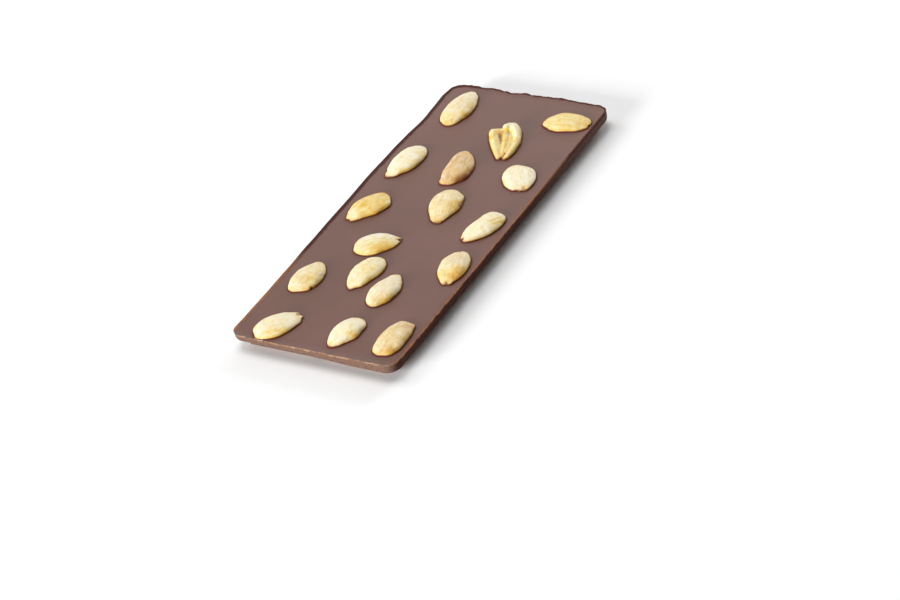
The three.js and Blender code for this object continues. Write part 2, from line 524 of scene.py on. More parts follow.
# %% Lumps, dents and wrinkles
def cloud_texture(name, size, depth=1):
    texture = bpy.data.textures.new(name, "CLOUDS")
    texture.noise_scale = size
    texture.noise_depth = depth
    return texture


almond_lumps = cloud_texture("almond lumps", mm(5))
almond_dents = cloud_texture("almond dents", mm(2))
almond_wrinkles = cloud_texture("almond wrinkles", mm(0.7), 2)


def displace(piece, texture, strength, direction="NORMAL", group="", mid_level=0.5):
    """Adds a displacement by a texture in the piece's own coordinates, and applies it."""
    select_only(piece)
    change = piece.modifiers.new("displace", "DISPLACE")
    change.texture = texture
    change.texture_coords = "LOCAL"
    change.direction = direction
    change.strength = strength
    change.mid_level = mid_level
    change.vertex_group = group
    bpy.ops.object.modifier_apply(modifier=change.name)


def roughen(piece):
    displace(piece, almond_lumps, mm(0.4))
    displace(piece, almond_dents, mm(0.15))
    displace(piece, almond_wrinkles, mm(0.08))
    bpy.ops.object.shade_smooth()


# %% [markdown]
# ### Sixteen almonds, each with its own shape
#
# Each line gives an almond's middle on the tablet in millimetres, the turn of its tip, its length, width,
# height above the widest line and the sharpness of its tip. Presses are what makes it itself: a place on
# it, how far that place moves, and how far around it the rest follows. Broad ones are made while the
# mesh is coarse. Nicks and creases are made after it has been divided finely.

# %% Sixteen almonds
LIFT = 0.3

# x and y of its middle, turn, length, width, rise, sharpness of its tip
SIXTEEN_ALMONDS = {
    "almond_01": (-23.7, 66.8, 94, 23.8, 12.6, 2.2, 0.62),
    "almond_02": (25.8, 67.8, 3, 19.8, 12.6, 1.7, 0.65),
    "almond_04": (-26.6, 29.2, -97, 22.2, 12.4, 2.2, 0.68),
    "almond_05": (-3, 30.8, 104, 21.6, 12.8, 2.2, 0.6),
    "almond_06": (24.7, 31, -50, 18.8, 13.4, 1.6, 0.55),
    "almond_07": (-25.8, -0.6, -110, 20.2, 13.6, 2, 0.65),
    "almond_08": (5, 7.5, -71, 21, 13.4, 2.2, 0.68),
    "almond_09": (26.8, -0.4, -108, 20.6, 12.2, 2.2, 0.68),
    "almond_10": (-9, -20.2, 27, 18.8, 13, 2.1, 0.68),
    "almond_11": (28.6, -25.2, -76, 19.4, 12, 2.2, 0.56),
    "almond_12": (-3.6, -37.2, -95, 20.2, 12.4, 2.2, 0.68),
    "almond_13": (-24.8, -45, 93, 19.2, 12.8, 2.2, 0.58),
    "almond_14": (9.8, -44.2, 94, 19.8, 12.2, 2.2, 0.66),
    "almond_15": (-20.3, -73.4, 53, 19.6, 13.3, 2, 0.6),
    "almond_16": (8.6, -70.2, -102, 17.9, 11.9, 2.1, 0.68),
    "almond_17": (28.7, -68.3, 92, 20.6, 12.4, 2.2, 0.52),
}
print("almonds planned:", len(SIXTEEN_ALMONDS))

# %% Broad presses
# For each press: x, y, how far it moves in x and y, and its reach, in mm
BROAD_PRESSES = {
    "almond_01": [(-18, 58, -0.5, 0.8, 4), (-17.3, 61, -0.3, 0.2, 4), (-28, 58.5, -0.2, -0.4, 4),
        (-19.5, 76, 0.3, 0.2, 3), (-18.2, 70.8, 0.3, 0, 2.5)],
    "almond_02": [(33.5, 71.5, 0.6, 0.6, 3.5), (27.5, 61.4, 0, 0.8, 6), (16.5, 66, -0.6, -0.8, 4),
        (18, 71.5, 0.5, -0.3, 4)],
    "almond_04": [(-28, 18.3, -1.3, 0.2, 5), (-23, 21, -0.8, 0.5, 4)],
    "almond_05": [(-9.5, 31, 1.2, 0, 7), (-7.2, 24, 0.4, -0.2, 3), (2.5, 21.5, -0.8, 0.4, 4.5),
        (-9, 40, -0.4, 0.3, 3), (-6, 41, -0.1, 0.5, 3.5), (-4.6, 20.9, -1.2, -0.9, 3.5)],
    "almond_06": [(32.5, 24.8, 0.2, -0.1, 3), (28.5, 22.6, 0, 0.6, 3), (23.5, 39.8, -0.1, -1.3, 7)],
    "almond_07": [(-18, 2.5, 0.8, 0.4, 4), (-22, -7, -0.6, 0.7, 6), (-30.5, 7, 0.7, -0.7, 7)],
    "almond_08": [(11.3, 2, -0.9, 0.3, 6), (6, -2.3, -0.4, -0.6, 3.5), (3.4, -1, -0.5, -0.1, 4),
        (9.3, 15.2, 0.6, 0.2, 2.5)],
    "almond_09": [(21, 3.5, 1.1, -0.2, 7), (29, 9.5, -0.3, -0.7, 5), (22, -8, -0.5, -0.4, 3)],
    "almond_10": [(-3, -23.5, -0.2, 0.4, 5), (-17.2, -24.2, 0.3, 0.2, 3)],
    "almond_11": [(23, -17.5, 0.4, -0.5, 6.5), (29.5, -34.3, -0.2, -0.7, 3)],
    "almond_12": [(2.5, -40.5, -0.7, 0.2, 6), (-2, -46.8, -0.3, 0.5, 3)],
    "almond_13": [(-29.5, -38.5, 0.6, -0.8, 5), (-28.8, -52.5, -0.4, -0.5, 4), (-22, -54.8, 0, 0.8, 4.5)],
    "almond_14": [(16, -47.5, -0.6, 0.1, 6), (10.8, -34.6, 0.1, 0.3, 2), (14, -52.5, -0.4, 0.8, 4.5),
        (5, -38, 0.7, -0.3, 5)],
    "almond_15": [(-26.5, -80.5, 0.2, 0.5, 3), (-13.5, -69.5, 0.7, -0.2, 3), (-16.2, -65.5, 0.2, 0.5, 3)],
    "almond_16": [(12, -76, -0.3, 0.3, 4), (15.8, -68, -0.7, 0, 4)],
    "almond_17": [(32, -60, 0.5, 0.8, 2.5), (26, -58.8, -0.2, 0.5, 2), (35, -68.5, -0.8, 0, 6),
        (30, -78.6, 0, 0.8, 4), (24.5, -75.5, -0.6, -0.4, 4)],
}
print("broad presses:", sum(len(presses) for presses in BROAD_PRESSES.values()))

# %% Nicks, creases and blunt tips
# For each press: its place, its move and its reach, in mm
FINE_PRESSES = {
    "almond_02": [((36.1, 68.1, 7.3), (-0.7, 0, 0), 1)],
    "almond_04": [((-31.1, 21.8, 7.3), (0.8, 0.2, 0), 0.9)],
    "almond_06": [((30.6, 24.9, 8.2), (-0.1, 0.1, -0.2), 0.9), ((27.6, 22.9, 7.2), (0.2, 0.4, 0), 1),
        ((30.4, 23.2, 7.2), (0, 0.4, 0), 0.8)],
    "almond_07": [((-29.3, -10.1, 7.2), (0.3, 0.7, 0), 1.5)],
    "almond_08": [((6.6, -2.2, 7.6), (0, 0.3, -0.1), 0.6), ((7.9, -1.9, 7.6), (0, 0.3, -0.1), 0.6),
        ((9, -1.3, 7.6), (-0.1, 0.3, -0.1), 0.6)],
    "almond_09": [((23, -9.2, 7.2), (0.2, 0.9, 0), 0.8)],
    "almond_10": [((-1.9, -14.6, 7.2), (0.5, 0.5, 0), 2), ((-1.3, -15.6, 7.2), (-1, -0.5, 0), 0.6)],
    "almond_11": [((31, -34.3, 7.5), (-0.1, 0.4, -0.1), 0.6), ((32.4, -34, 7.2), (0.5, -0.4, 0), 1.5)],
    "almond_13": [((-19.7, -40.6, 8.2), (0, 0, -0.2), 0.9), ((-18.9, -43.8, 8.2), (0, 0, -0.25), 0.9),
        ((-18.2, -47.1, 8), (0, 0, -0.25), 0.9), ((-17.8, -51.1, 7.4), (-0.3, 0.2, -0.1), 0.9)],
    "almond_15": [((-15.4, -65.8, 7.3), (-0.9, -0.9, 0), 0.9), ((-14, -66.6, 7.3), (0.6, 0.3, 0), 1.2)],
}
print("fine presses:", sum(len(presses) for presses in FINE_PRESSES.values()))

# %% Make the sixteen almonds
almonds = {}
widest_line = BACK * 1000 + LIFT
for name, (x, y, turn, length, width, rise, tip) in SIXTEEN_ALMONDS.items():
    almond = copy_almond(name + "_roasted")
    shape_almond(almond, mm(length), mm(width), mm(rise), tip)
    turn_and_place(almond, mm(x), mm(y), BACK + mm(LIFT), turn)
    edit(almond)
    for press_x, press_y, move_x, move_y, reach in BROAD_PRESSES[name]:
        press(almond, (press_x, press_y, widest_line), (move_x, move_y, 0), reach)
    close_edit()
    divide_finely(almond, 2)
    edit(almond)
    for place, move, reach in FINE_PRESSES.get(name, []):
        press(almond, place, move, reach)
    close_edit()
    roughen(almond)
    almonds[name] = almond
bpy.data.objects.remove(base_almond)
print("almonds shaped:", len(almonds), "with", len(almond.data.vertices), "points each")


# %% [markdown]
# ### The almond that sprang open
#
# One almond split as it roasted. Its two halves lean apart, with a cleft between them, and a strip of the
# outer one curled up and over at its thick end. Such a shape is easier to knead than to carve: balls are
# strung along seven ropes, fused into one skin by a voxel remesh, and smoothed.

# %% Ropes of the split almond
# In mm, from thick end to tip: the left half and its ridge, the middle, the outer half with its curl,
# the far side, what lies under the outer half, and the floor of the cleft. Each knot has x, y, its
# height above the back and its radius.
ROPES = [
    [(-0.8, 54.7, 0.3, 2.1), (1.7, 50.9, 0.3, 2.2), (4.5, 47.1, 0.2, 2), (7.5, 43.3, 0.1, 1.6),
        (9.5, 40.7, 0, 1.2)],
    [(0.8, 54.4, 0.6, 1.6), (3.2, 50.8, 0.6, 1.6), (5.8, 47, 0.5, 1.4), (8.4, 43.3, 0.3, 1.1)],
    [(5, 55, 0, 1.9), (6.6, 51.9, 0, 2.1), (8.4, 47.8, 0.1, 1.9), (9.5, 44.6, 0, 1.5),
        (10.2, 42.6, 0, 1.1)],
    [(4.1, 57.4, 2, 1.8), (4.8, 58.4, 1.6, 2.1), (6.1, 58.9, 1.1, 2.4), (8.1, 57.6, 0.8, 2.2),
        (10.3, 54.6, 0.6, 1.8), (12, 51.3, 0.6, 1.6), (12.7, 48.1, 0.6, 1.5), (12.9, 45.1, 0.4, 1.5),
        (12.7, 42.6, 0.2, 1.4), (12.1, 41, 0, 1.1)],
    [(-1.1, 55.5, 0.1, 1.8), (0.2, 56.3, 0, 1.7), (2.2, 56.9, -0.1, 1.7)],
    [(6.4, 56.3, -0.6, 1.9), (8.3, 53.6, -0.3, 2), (9.9, 49.5, -0.2, 1.9), (10.6, 45.2, -0.3, 1.7)],
    [(2.9, 55, -0.8, 2), (4.4, 51.4, -1, 2), (6.6, 48, -0.9, 1.9), (8.4, 44.6, -0.6, 1.7),
        (9.9, 41.8, -0.2, 1.4)],
]
print("knots:", sum(len(rope) for rope in ROPES))

# %% Knead the split almond
BALL_SPACING = 0.7
VOXEL = mm(0.28)

balls = []
deselect_all()
for rope in ROPES:
    for (x0, y0, z0, r0), (x1, y1, z1, r1) in zip(rope, rope[1:]):
        steps = max(int(math.dist((x0, y0, z0), (x1, y1, z1)) / BALL_SPACING), 1)
        for step in range(steps + 1):
            share = step / steps
            x, y, z, radius = (a + (b - a) * share for a, b in zip((x0, y0, z0, r0), (x1, y1, z1, r1)))
            bpy.ops.mesh.primitive_ico_sphere_add(subdivisions=2, radius=mm(radius),
                                                  location=(mm(x), mm(y), BACK + mm(z)))
            balls.append(bpy.context.object)
for ball in balls:
    ball.select_set(True)
bpy.ops.object.join()
split_almond = bpy.context.object
split_almond.name = "almond_03_roasted"
bpy.ops.object.transform_apply(location=True, rotation=True, scale=True)
split_almond.data.remesh_voxel_size = VOXEL
bpy.ops.object.voxel_remesh()
edit(split_almond)
bpy.ops.mesh.select_all(action="SELECT")
bpy.ops.mesh.vertices_smooth(factor=0.5, repeat=3)
close_edit()
displace(split_almond, almond_dents, mm(0.15))
displace(split_almond, almond_wrinkles, mm(0.12))
bpy.ops.object.shade_smooth()
almonds["almond_03"] = split_almond
print("kneaded from", len(balls), "balls into", len(split_almond.data.vertices), "points")


# %% [markdown]
# ## Chocolate around the almonds and along the rim
#
# Liquid chocolate climbs a little where it meets an almond or the wall of the mould, and sets there as
# a soft fillet. To rise only there, each point of the back has to know how far the nearest almond is,
# and a search tree of each almond's faces tells it quickly. The back is first divided more finely
# beside the almonds, so that the narrow fillet has enough points to be smooth.

# %% Distances from the almonds
FAR_FROM_ALMONDS = mm(3)


def tree_of(piece):
    corners = [vertex.co for vertex in piece.data.vertices]
    return BVHTree.FromPolygons(corners, [polygon.vertices for polygon in piece.data.polygons])


def distance_outside(tree, spot):
    """The distance from a spot to a closed piece, below zero where the piece's top lies above the spot."""
    place, _, _, distance = tree.find_nearest(spot, FAR_FROM_ALMONDS)
    if place is None:
        return FAR_FROM_ALMONDS
    _, normal_above, _, _ = tree.ray_cast(spot, Vector((0, 0, 1)))
    return -distance if normal_above and normal_above.z > 0 else distance


def distance_to_almonds(spot):
    return min(distance_outside(tree, spot) for tree in trees)


trees = [tree_of(almond) for almond in almonds.values()]
print("almonds to measure from:", len(trees))

# %% Divide the back finely around the almonds
FINE_OUTSIDE = mm(1.2)
FINE_INSIDE = mm(0.6)
FINE_CUTS = 2


def beside_an_almond(face):
    spot = face.calc_center_median()
    if face.normal.z < FLAT or not near(spot.z, BACK):
        return False
    return -FINE_INSIDE < distance_to_almonds(spot) < FINE_OUTSIDE


edit(tablet)
divided = pick("FACE", beside_an_almond)
bpy.ops.mesh.subdivide(number_cuts=FINE_CUTS, quadcorner="INNERVERT")
close_edit()
for vertex in tablet.data.vertices[len(inside_rim):]:
    inside_rim.append(max(distance_to_outline(vertex.co), 0))
    below_back.append(BACK - vertex.co.z)
print("faces divided:", divided, "and points now:", len(tablet.data.vertices))


# %% [markdown]
# ### Fillets, a thinner corner and a crumbly lip
#
# A vertex group says how much each point takes part in a change. There is one for the fillet along the
# rim, one for those around the almonds, one for the thin lip, one for the back's slow waves, and one for
# the lower wall at the front left, where less chocolate ran in and the plate is thinner. Displacements
# straight up raise three of them, and cloudy ones make the back wavy and the lip crumbly.

# %% Groups of points near the rim and near the almonds
RIM_REACH = mm(3)
ALMOND_REACH = mm(1.2)
LIP_REACH = mm(0.9)
PLATE_THICKNESS = BACK - PLATE_BOTTOM

# Where the thinner corner begins, and where it is thinnest: across, along and in from the rim
THIN_ACROSS = mm(16), mm(-10)
THIN_ALONG = mm(-62), mm(-78)
THIN_INSIDE = mm(2.8), mm(1.6)


def fade(value, start, end):
    """0 at start, 1 at end, and a straight line between."""
    return min(max((value - start) / (end - start), 0), 1)


def thinness(spot, inside, depth):
    """How much a point of the lower wall rises where the plate is thinner."""
    lowness = fade(depth, lip_end, PLATE_THICKNESS) * fade(inside, *THIN_INSIDE)
    return lowness * (fade(spot.x, *THIN_ACROSS) * fade(spot.y, *THIN_ALONG))


names = ("rim rise", "rim lip", "back skin", "near almond", "thin rim")
rim_rise, rim_lip, back_skin, near_almond, thin_rim = (tablet.vertex_groups.new(name=name) for name in names)
from_almond = [FAR_FROM_ALMONDS] * len(inside_rim)
for index, (inside, depth) in enumerate(zip(inside_rim, below_back)):
    spot = tablet.data.vertices[index].co
    if depth < HAIR:
        nearness = max(1 - inside / RIM_REACH, 0)
        rim_rise.add([index], nearness * nearness, "REPLACE")
        back_skin.add([index], min(inside / RIM_REACH, 1), "REPLACE")
        from_almond[index] = distance_to_almonds(spot)
        nearness = max(1 - max(from_almond[index], 0) / ALMOND_REACH, 0)
        near_almond.add([index], nearness * nearness, "REPLACE")
    if depth < lip_end and inside < LIP_REACH:
        rim_lip.add([index], 1 - depth / lip_end, "REPLACE")
    if lip_end < depth < PLATE_THICKNESS + HAIR:
        thin_rim.add([index], thinness(spot, inside, depth), "REPLACE")
print("points within reach of an almond:", sum(distance < ALMOND_REACH for distance in from_almond))

# %% Raise the fillets and make the back uneven
RISES = (("rim rise", 0.35), ("near almond", 0.25), ("thin rim", 1.4))
WAVE_HEIGHT = mm(0.25)
CRUMBLE_DEPTH = mm(0.55)
SHARP_ANGLE = math.radians(38)

back_waves = cloud_texture("back waves", mm(30))
lip_crumble = cloud_texture("lip crumble", mm(1.8), 2)
for group, height in RISES:
    displace(tablet, None, mm(height), "Z", group, mid_level=0)
displace(tablet, back_waves, WAVE_HEIGHT, "Z", "back skin")
for direction in ("X", "Y", "Z"):
    displace(tablet, lip_crumble, CRUMBLE_DEPTH, direction, "rim lip")
bpy.ops.object.shade_smooth_by_angle(angle=SHARP_ANGLE)
print("the tablet now reaches up to", max(v.co.z for v in tablet.data.vertices) * 1000, "mm")


# %% [markdown]
# ## Materials
#
# A material is a small graph of nodes. One function turns a colour as a painter writes it, in sRGB hex,
# into the linear numbers that Blender counts in. One fills a node's inputs, and one adds a node with its
# settings and inputs, and hands back the output that the next node needs.

# %% Colours and materials
def linear(hex_code):
    """An sRGB colour such as "#5f443a" as linear red, green, blue and alpha."""
    parts = [int(hex_code[i:i + 2], 16) / 255 for i in (1, 3, 5)]
    light = [p / 12.92 if p <= 0.04045 else ((p + 0.055) / 1.055) ** 2.4 for p in parts]
    return (*light, 1)


def new_material(name):
    material = bpy.data.materials.new(name)
    material.use_nodes = True
    return material, material.node_tree.nodes["Principled BSDF"]


# %% Nodes
def fill(material, node, **inputs):
    """Fills inputs, given by name or as i0, i1, with numbers, hex colours or other nodes' outputs."""
    for label, value in inputs.items():
        socket = node.inputs[int(label[1:]) if label[1:].isdigit() else label.replace("_", " ")]
        if isinstance(value, bpy.types.NodeSocket):
            material.node_tree.links.new(value, socket)
        else:
            socket.default_value = linear(value) if isinstance(value, str) else value


def add_node(material, kind, settings=None, out=0, **inputs):
    """Adds a node with its settings, a ramp's (place, hex colour) stops among them, and its inputs."""
    node = material.node_tree.nodes.new("ShaderNode" + kind)
    for option, value in (settings or {}).items():
        if option != "stops":
            setattr(node, option, value)
            continue
        elements = node.color_ramp.elements
        while len(elements) < len(value):
            elements.new(0.5)
        for element, (place, shade) in zip(elements, value):
            element.position = place
            element.color = linear(shade)
    fill(material, node, **inputs)
    return node.outputs[out]


# A colour mix takes its factor at i0 and its colours at i6 and i7, and gives its result at 2
COLOUR_MIX = {"data_type": "RGBA"}
ADD = {"operation": "ADD"}
MULTIPLY_ADD = {"operation": "MULTIPLY_ADD"}


# %% [markdown]
# ### The thin lip of the rim
#
# Where the chocolate ends in a thin edge, its colour has light and shade painted in: a painted highlight in
# tan where that stretch of the rim counts as lit, painted shade in dark red-brown where it does not, and a
# painted orange glow on the left towards the front and, weaker, along the right, for light that comes through
# the thin chocolate. Two numbers at each point say how near it is to the edge and how lit that stretch of the
# rim is. A noise breaks the line up, as a real rim is chipped and uneven.

# %% How lit the rim is
# Where each zone of the rim begins, and where it is full
FRONT_ZONE = mm(-79), mm(-81.5)
RIGHT_ZONE = mm(34), mm(36)
RIGHT_STRETCH = mm(50), mm(0)
LEFT_ZONE = mm(-34), mm(-36)
LEFT_STRETCH = mm(-30), mm(-60)
LEFT_END = mm(-81), mm(-78)


def front_light(spot):
    """How lit the rim is along the front."""
    return fade(spot.y, *FRONT_ZONE)


def right_light(spot):
    """How lit the rim is along the right side, up to about two thirds of it."""
    return fade(spot.x, *RIGHT_ZONE) * fade(spot.y, *RIGHT_STRETCH)


def left_glow(spot):
    """How much light comes through the rim on the left side, towards the front."""
    return fade(spot.x, *LEFT_ZONE) * fade(spot.y, *LEFT_STRETCH) * fade(spot.y, *LEFT_END)


def lip_light(spot):
    """How lit the rim is at a place, whatever the side."""
    return max(front_light(spot), 0.8 * right_light(spot), 0.9 * left_glow(spot))


def lip_glow(spot):
    """How orange the rim is, where light has come through the chocolate."""
    return max(0.9 * left_glow(spot), 0.6 * right_light(spot) * (1 - front_light(spot)))


# %% Store the lip in the tablet's points
SHADED_LIP = mm(1.3)
SHADED_LIP_MORE = mm(1.4)
SHADED_LIP_ZONE = mm(-20), mm(-34)
LIT_LIP = mm(0.8)
LIT_THINNER = 0.25


def store(piece, layer, numbers):
    """Stores one number for each point of a piece, for its material to read."""
    piece.data.attributes.new(layer, "FLOAT", "POINT").data.foreach_set("value", numbers)


def lip_nearness(spot, inside, depth, light):
    """How near a point is to the lip. The painted shade of the lip reaches farthest on the left, where the
    rim stands up.
    """
    shaded_reach = SHADED_LIP + SHADED_LIP_MORE * fade(spot.x, *SHADED_LIP_ZONE)
    reach = shaded_reach + (LIT_LIP - shaded_reach) * light
    nearness = max(1 - depth / lip_end, 0) * max(1 - inside / reach, 0)
    thinner = LIT_THINNER * max(front_light(spot), right_light(spot))
    return nearness * (1.5 - 0.5 * light) - thinner


spots = [vertex.co.copy() for vertex in tablet.data.vertices]
lights = [lip_light(spot) for spot in spots]
store(tablet, "lip", [lip_nearness(*point) for point in zip(spots, inside_rim, below_back, lights)])
store(tablet, "lip light", lights)
store(tablet, "lip glow", [lip_glow(spot) for spot in spots])
store(tablet, "from almond", [distance * 1000 for distance in from_almond])

# %% Store where the moulded skin is painted lit
# Where the painted light begins, and where it is strongest
LIT_FRONT = mm(-79), mm(-82)
LIT_UNDERSIDE = mm(3.4), mm(2.7)
LIT_FAR_END = mm(20), mm(75)


def dust(spot):
    """How much painted light the moulded skin gets: the front, the underside, and somewhat the far end."""
    far_end = 0.7 * fade(spot.y, *LIT_FAR_END)
    return max(fade(spot.y, *LIT_FRONT), fade(spot.z, *LIT_UNDERSIDE), far_end)


store(tablet, "dust", [dust(spot) for spot in spots])


# %% Colour of the lip
def paint_lip_light_and_shade(material, place, base):
    """Adds the thin line of the lip, with its painted highlight, painted shade and painted glow, to a
    material's colour, and says where that line is.
    """
    nearness, lit, glow = (add_node(material, "Attribute", {"attribute_name": layer}, "Fac")
                           for layer in ("lip", "lip light", "lip glow"))
    chips = add_node(material, "TexNoise", Vector=place, Scale=1 / mm(2.5), Detail=3, Roughness=0.7)
    centred = add_node(material, "Math", {"operation": "SUBTRACT"}, i0=chips, i1=0.52)
    amount = add_node(material, "Math", MULTIPLY_ADD, i0=lit, i1=1.5, i2=0.7)
    raised = add_node(material, "Math", MULTIPLY_ADD, i0=centred, i1=amount, i2=nearness)
    mask = add_node(material, "MapRange", Value=raised, From_Min=0.4, From_Max=0.75, To_Max=0.8)
    # Painted shade in dark red-brown where the rim is unlit, a painted highlight in tan where it is lit, then
    # a painted orange glow
    shade = add_node(material, "Mix", COLOUR_MIX, 2, i0=lit, i6="#44180a", i7="#b48c6c")
    glowing = add_node(material, "Mix", COLOUR_MIX, 2, i0=glow, i6=shade, i7="#c06a1e")
    return add_node(material, "Mix", COLOUR_MIX, 2, i0=mask, i6=base, i7=glowing), mask


# %% [markdown]
# ### Poured chocolate
#
# The back set in air, so it is smooth and satin: dark brown with a broad grey sheen where it mirrors a
# window. Cocoa butter leaves it faintly clouded, which shows as slow changes of gloss and tone. Within about
# a millimetre of each almond, painted contact shade darkens it to dark red-brown and dulls its sheen.

# %% Poured chocolate
poured, poured_shader = new_material("poured dark chocolate")
place = add_node(poured, "TexCoord", out="Object")
clouding = add_node(poured, "TexNoise", Vector=place, Scale=1 / mm(22), Detail=3, Roughness=0.5)
grain = add_node(poured, "TexNoise", Vector=place, Scale=1 / mm(0.6), Detail=2, Roughness=0.6)
brown = add_node(poured, "ValToRGB", {"stops": [(0.3, "#674335"), (0.7, "#714b40")]}, Fac=clouding)
away = add_node(poured, "Attribute", {"attribute_name": "from almond"}, "Fac")
# Painted contact shade: dark red-brown, and less sheen, where the back meets an almond
contact_shade = add_node(poured, "MapRange", {"interpolation_type": "SMOOTHSTEP"}, Value=away, From_Min=0,
                From_Max=0.95, To_Min=0.9, To_Max=0)
contact_shaded = add_node(poured, "Mix", COLOUR_MIX, 2, i0=contact_shade, i6=brown, i7="#561c07")
lined, on_lip = paint_lip_light_and_shade(poured, place, contact_shaded)
dulled = add_node(poured, "Math", {"operation": "MAXIMUM"}, i0=contact_shade, i1=on_lip)
shine = add_node(poured, "MapRange", Value=dulled, From_Min=0, From_Max=0.8, To_Min=0.5, To_Max=0.1)
satin = add_node(poured, "MapRange", Value=clouding, From_Min=0.3, From_Max=0.7, To_Min=0.4, To_Max=0.46)
bump = add_node(poured, "Bump", Strength=0.15, Distance=mm(0.03), Height=grain)
fill(poured, poured_shader, Base_Color=lined, Specular_IOR_Level=shine, Roughness=satin, Normal=bump, IOR=1.5)


# %% [markdown]
# ### Moulded chocolate
#
# The walls and blocks keep the fine sandy skin of the mould, with pits where air was trapped, which are only
# painted, as dark spots of painted shade. They are matt, so they show their own brown more than the sheen.
# Their
# colour has light and shade painted in: a lighter brown, as if lit, on the front wall, the underside and
# towards the far end, and a darker brown, as if in shade, elsewhere on the walls.

# %% Moulded chocolate
moulded, moulded_shader = new_material("moulded dark chocolate")
place = add_node(moulded, "TexCoord", out="Object")
sand = add_node(moulded, "TexNoise", Vector=place, Scale=1 / mm(0.5), Detail=3, Roughness=0.7)
pits = add_node(moulded, "TexVoronoi", {"feature": "F1"}, Vector=place, Scale=1 / mm(1.4), Randomness=1)
between_pits = add_node(moulded, "MapRange", Value=pits, From_Min=0.1, From_Max=0.22)
# Painted shade: the darker brown of the walls away from the front, the underside and the far end
shaded_skin = add_node(moulded, "ValToRGB", {"stops": [(0.35, "#381b11"), (0.65, "#4b2a1d")]}, Fac=sand)
# Painted light: a lighter, greyer brown where the walls and blocks are painted lit
lit_skin = add_node(moulded, "ValToRGB", {"stops": [(0.35, "#644a3d"), (0.65, "#7e6254")]}, Fac=sand)
wall_light = add_node(moulded, "Attribute", {"attribute_name": "dust"}, "Fac")
skin = add_node(moulded, "Mix", COLOUR_MIX, 2, i0=wall_light, i6=shaded_skin, i7=lit_skin)
# Painted shade of air pits: dark spots where the mesh has no hollow
pitted = add_node(moulded, "Mix", COLOUR_MIX, 2, i0=between_pits, i6="#2a1712", i7=skin)
lined, on_lip = paint_lip_light_and_shade(moulded, place, pitted)
bump = add_node(moulded, "Bump", Strength=0.5, Distance=mm(0.08), Height=sand)
fill(moulded, moulded_shader, Base_Color=lined, Specular_IOR_Level=0.1, Roughness=0.6, Normal=bump)

# %% Which faces are poured and which are moulded
POURED_LEAN = 0.3
POURED_DEPTH = mm(1)

tablet.data.materials.clear()
tablet.data.materials.append(moulded)
tablet.data.materials.append(poured)
edit(tablet)
on_back = pick("FACE", lambda f: f.normal.z > POURED_LEAN and f.calc_center_median().z > BACK - POURED_DEPTH)
tablet.active_material_index = 1
bpy.ops.object.material_slot_assign()
close_edit()
print("poured faces:", on_back, "of", len(tablet.data.polygons))


# %% [markdown]
# ### Roasted almond
#
# A blanched almond has lost its brown skin. It is cream, and the oven turns it golden from the edges in. Its
# steep sides and its foot are painted more golden still, partly for the roast and partly as painted warm
# shade of the lower flanks, and its nicks, cracks and cleft are painted dark as shade. Fine streaks run from
# end to end, so each point stores where it is along, across and above its almond, and the streaks' noise is
# stretched along that. Three more numbers at each point say how roasted, how tan and how dark it is there;
# the dark is painted shade.

# %% Painting numbers into an almond
GRAIN_SHIFT = 40


def points_in_mm(piece):
    places = np.empty(len(piece.data.vertices) * 3)
    piece.data.vertices.foreach_get("co", places)
    return places.reshape(-1, 3) * 1000


def paint(piece, layer, base, patches):
    """Stores a number at each point: a base, and round patches of (x, y, radius, amount) in mm."""
    places = points_in_mm(piece)
    amounts = np.full(len(places), float(base))
    for x, y, radius, amount in patches:
        squared = (places[:, 0] - x) ** 2 + (places[:, 1] - y) ** 2
        amounts += amount * np.exp(-squared / (radius * radius))
    store(piece, layer, amounts)


def paint_grain(piece, x, y, turn):
    """Stores each point's place along, across and above the almond, in mm, shifted for each almond."""
    places = points_in_mm(piece)
    cosine = math.cos(math.radians(turn))
    sine = math.sin(math.radians(turn))
    aside = places[:, 0] - x
    ahead = places[:, 1] - y
    along = aside * cosine + ahead * sine + GRAIN_SHIFT * x
    across = ahead * cosine - aside * sine
    grain = np.stack([along, across, places[:, 2]], 1)
    piece.data.attributes.new("grain", "FLOAT_VECTOR", "POINT").data.foreach_set("vector", grain.ravel())


